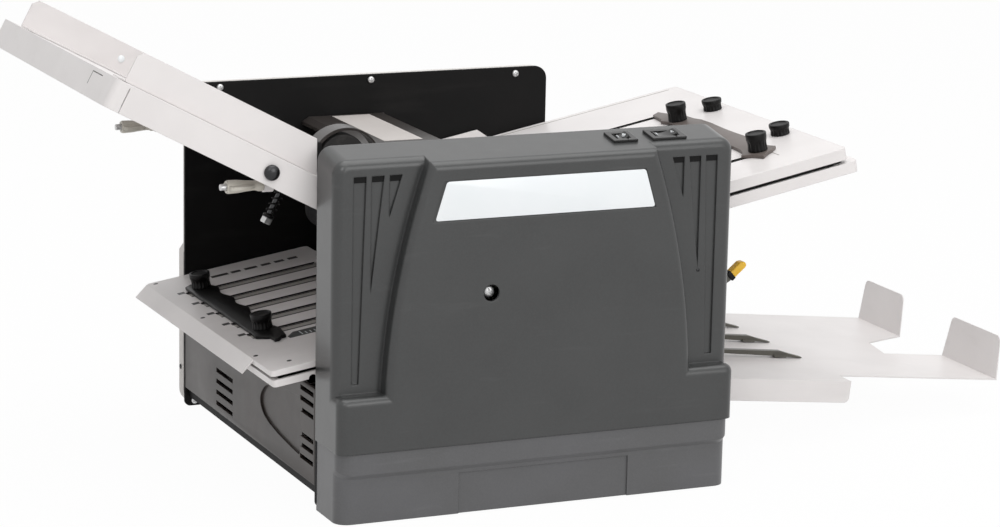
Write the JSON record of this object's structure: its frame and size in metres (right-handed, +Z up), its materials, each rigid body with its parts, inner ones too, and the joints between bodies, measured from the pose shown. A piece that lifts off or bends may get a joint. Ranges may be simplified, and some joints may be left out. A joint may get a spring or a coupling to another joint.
{
  "type": "paper folding machine",
  "caption": "Desk-top paper folding machine with sloping feed table, moulded side cover, fold tables with sliding stops, fold rollers and an extending exit tray.",
  "frame": {"origin": "bottom centre of the bounding box, on the surface it stands on", "axes": "+Z up, +X along the paper path from feed table to exit tray, -Y towards the operator"},
  "size_m": [0.8858, 0.4135, 0.3862],
  "materials": {
    "black_steel": "satin black paint",
    "dark_steel": "satin dark paint",
    "grey_cover": "fine grain",
    "light_cover": "smooth paint",
    "dark_cover": "fine grain",
    "bright_steel": "plated",
    "bronze": "sintered",
    "black_rubber": "matt",
    "pad_rubber": "matt",
    "roller_cover": "ground",
    "gear_plastic": "moulded",
    "motor_paint": "die cast",
    "black_plastic": "moulded",
    "white_coat": "powder coat",
    "ivory_plastic": "moulded",
    "yellow_plastic": "dipped"
  },
  "bodies": {
    "frame": {"near_frame_plate": "black_steel", "far_frame_plate": "black_steel", "shaft_bearings": "bronze", "tie_rods": "bright_steel", "plate_screws": "bright_steel", "near_cover": "grey_cover", "lower_cover": "grey_cover", "far_cover": "light_cover", "power_inlet": "black_plastic", "left_end_cover": "dark_cover", "right_end_cover": "dark_cover", "base_pan": "black_steel", "rubber_feet": "black_rubber", "switch_bezels": "black_plastic", "table_arms": "black_steel", "table_pivot_screws": "black_plastic", "feed_hood": "dark_steel", "separator_pad": "pad_rubber", "separator_bolt": "bright_steel", "separator_spring": "bright_steel", "drive_belt": "black_rubber", "feed_belt": "black_rubber", "drive_motor": "motor_paint", "fold_table_1_upper": "white_coat", "fold_table_1_lower": "white_coat", "fold_table_2_upper": "white_coat", "fold_table_2_lower": "white_coat", "exit_chute": "white_coat", "exit_tray": "white_coat"},
    "feed_table": {"feed_table": "white_coat"},
    "near_guide": {"near_guide": "white_coat"},
    "far_guide": {"far_guide": "white_coat"},
    "near_wing_nut": {"near_wing_nut": "ivory_plastic"},
    "far_wing_nut": {"far_wing_nut": "ivory_plastic"},
    "feed_rocker": {"feed_rocker": "black_plastic"},
    "power_rocker": {"power_rocker": "black_plastic"},
    "stop_bar_1": {"stop_bar_1": "black_plastic"},
    "stop_bar_2": {"stop_bar_2": "black_plastic"},
    "table_1_knob_near": {"table_1_knob_near": "black_plastic"},
    "table_1_knob_far": {"table_1_knob_far": "black_plastic"},
    "table_2_knob_near": {"table_2_knob_near": "black_plastic"},
    "table_2_knob_far": {"table_2_knob_far": "black_plastic"},
    "lock_knob_near": {"lock_knob_near": "black_plastic"},
    "lock_knob_far": {"lock_knob_far": "black_plastic"},
    "roller_1": {"fold_roller_1": "roller_cover", "roller_gear_1": "gear_plastic"},
    "roller_2": {"fold_roller_2": "roller_cover", "roller_gear_2": "gear_plastic"},
    "roller_3": {"fold_roller_3": "roller_cover", "roller_gear_3": "gear_plastic"},
    "roller_4": {"fold_roller_4": "roller_cover", "roller_gear_4": "gear_plastic", "drive_pulley": "gear_plastic"},
    "feed_drive": {"feed_shaft": "bright_steel", "feed_wheel": "black_rubber"},
    "exit_drive": {"exit_roller": "roller_cover"},
    "motor_drive": {"motor_pulley": "bright_steel"},
    "stacker": {"stacker_arm": "black_steel", "stacker_grip": "yellow_plastic"},
    "exit_extension": {"exit_extension": "white_coat"}
  },
  "joints": [
    {"name": "feed_table_tilt", "type": "hinge", "parent": "frame", "child": "feed_table", "pos_m": [-0.30347, 0.0187, 0.28595], "axis": [0, 1, 0], "range_deg": [0, 3]},
    {"name": "near_guide_slide", "type": "slide", "parent": "feed_table", "child": "near_guide", "axis": [0, 1, 0], "range_m": [0, 0.06]},
    {"name": "far_guide_slide", "type": "slide", "parent": "feed_table", "child": "far_guide", "axis": [0, 1, 0], "range_m": [-0.06, 0]},
    {"name": "near_wing_nut_turn", "type": "hinge", "parent": "near_guide", "child": "near_wing_nut", "pos_m": [-0.3179, -0.1228, 0.271], "axis": [1, 0, 0], "continuous": true},
    {"name": "far_wing_nut_turn", "type": "hinge", "parent": "far_guide", "child": "far_wing_nut", "pos_m": [-0.3179, 0.1602, 0.271], "axis": [1, 0, 0], "continuous": true},
    {"name": "feed_rocker_tilt", "type": "hinge", "parent": "frame", "child": "feed_rocker", "pos_m": [-0.0061, -0.17499, 0.3023], "axis": [0, 0.9864, 0.1644], "range_deg": [0, 14]},
    {"name": "power_rocker_tilt", "type": "hinge", "parent": "frame", "child": "power_rocker", "pos_m": [0.0344, -0.17499, 0.3023], "axis": [0, 0.9864, 0.1644], "range_deg": [0, 14]},
    {"name": "stop_bar_1_slide", "type": "slide", "parent": "frame", "child": "stop_bar_1", "axis": [0.9806, 0, 0.1959], "range_m": [-0.165, 0.003]},
    {"name": "stop_bar_2_slide", "type": "slide", "parent": "frame", "child": "stop_bar_2", "axis": [0.9871, 0, 0.1599], "range_m": [-0.005, 0.09]},
    {"name": "table_1_knob_near_turn", "type": "hinge", "parent": "stop_bar_1", "child": "table_1_knob_near", "pos_m": [0.16596, -0.0945, 0.27218], "axis": [-0.1959, 0, 0.9806], "continuous": true},
    {"name": "table_1_knob_far_turn", "type": "hinge", "parent": "stop_bar_1", "child": "table_1_knob_far", "pos_m": [0.16596, 0.0615, 0.27218], "axis": [-0.1959, 0, 0.9806], "continuous": true},
    {"name": "table_2_knob_near_turn", "type": "hinge", "parent": "stop_bar_2", "child": "table_2_knob_near", "pos_m": [-0.27111, -0.03655, 0.13393], "axis": [-0.1599, 0, 0.9871], "continuous": true},
    {"name": "table_2_knob_far_turn", "type": "hinge", "parent": "stop_bar_2", "child": "table_2_knob_far", "pos_m": [-0.27111, 0.12545, 0.13393], "axis": [-0.1599, 0, 0.9871], "continuous": true},
    {"name": "lock_knob_near_turn", "type": "hinge", "parent": "frame", "child": "lock_knob_near", "pos_m": [0.20813, -0.0558, 0.28061], "axis": [-0.1959, 0, 0.9806], "continuous": true},
    {"name": "lock_knob_far_turn", "type": "hinge", "parent": "frame", "child": "lock_knob_far", "pos_m": [0.20813, 0.0752, 0.28061], "axis": [-0.1959, 0, 0.9806], "continuous": true},
    {"name": "roller_1_turn", "type": "hinge", "parent": "frame", "child": "roller_1", "pos_m": [-0.12656, 0.0187, 0.21953], "axis": [0, 1, 0], "continuous": true},
    {"name": "roller_2_turn", "type": "hinge", "parent": "frame", "child": "roller_2", "pos_m": [-0.1325, 0.0187, 0.182], "axis": [0, 1, 0], "continuous": true},
    {"name": "roller_3_turn", "type": "hinge", "parent": "frame", "child": "roller_3", "pos_m": [-0.10563, 0.0187, 0.15513], "axis": [0, 1, 0], "continuous": true},
    {"name": "roller_4_turn", "type": "hinge", "parent": "frame", "child": "roller_4", "pos_m": [-0.12463, 0.0187, 0.12222], "axis": [0, 1, 0], "continuous": true},
    {"name": "feed_drive_turn", "type": "hinge", "parent": "frame", "child": "feed_drive", "pos_m": [-0.1801, 0.0187, 0.261], "axis": [0, 1, 0], "continuous": true},
    {"name": "exit_drive_turn", "type": "hinge", "parent": "frame", "child": "exit_drive", "pos_m": [0.0629, 0.0187, 0.063], "axis": [0, 1, 0], "continuous": true},
    {"name": "motor_drive_turn", "type": "hinge", "parent": "frame", "child": "motor_drive", "pos_m": [-0.0121, -0.1528, 0.055], "axis": [0, 1, 0], "continuous": true},
    {"name": "stacker_lift", "type": "hinge", "parent": "frame", "child": "stacker", "pos_m": [0.0729, 0.0187, 0.116], "axis": [0, -1, 0], "range_deg": [0, 30]},
    {"name": "exit_extension_slide", "type": "slide", "parent": "frame", "child": "exit_extension", "axis": [0.9943, 0, -0.1063], "range_m": [-0.1, 0.02]}
  ],
  "couplings": [
    {"joint": "roller_1_turn", "follows": "roller_2_turn", "ratio": -1},
    {"joint": "roller_3_turn", "follows": "roller_2_turn", "ratio": -1},
    {"joint": "roller_4_turn", "follows": "roller_2_turn", "ratio": 1},
    {"joint": "feed_drive_turn", "follows": "roller_2_turn", "ratio": -1},
    {"joint": "exit_drive_turn", "follows": "roller_2_turn", "ratio": 2},
    {"joint": "motor_drive_turn", "follows": "roller_2_turn", "ratio": 2.5}
  ]
}
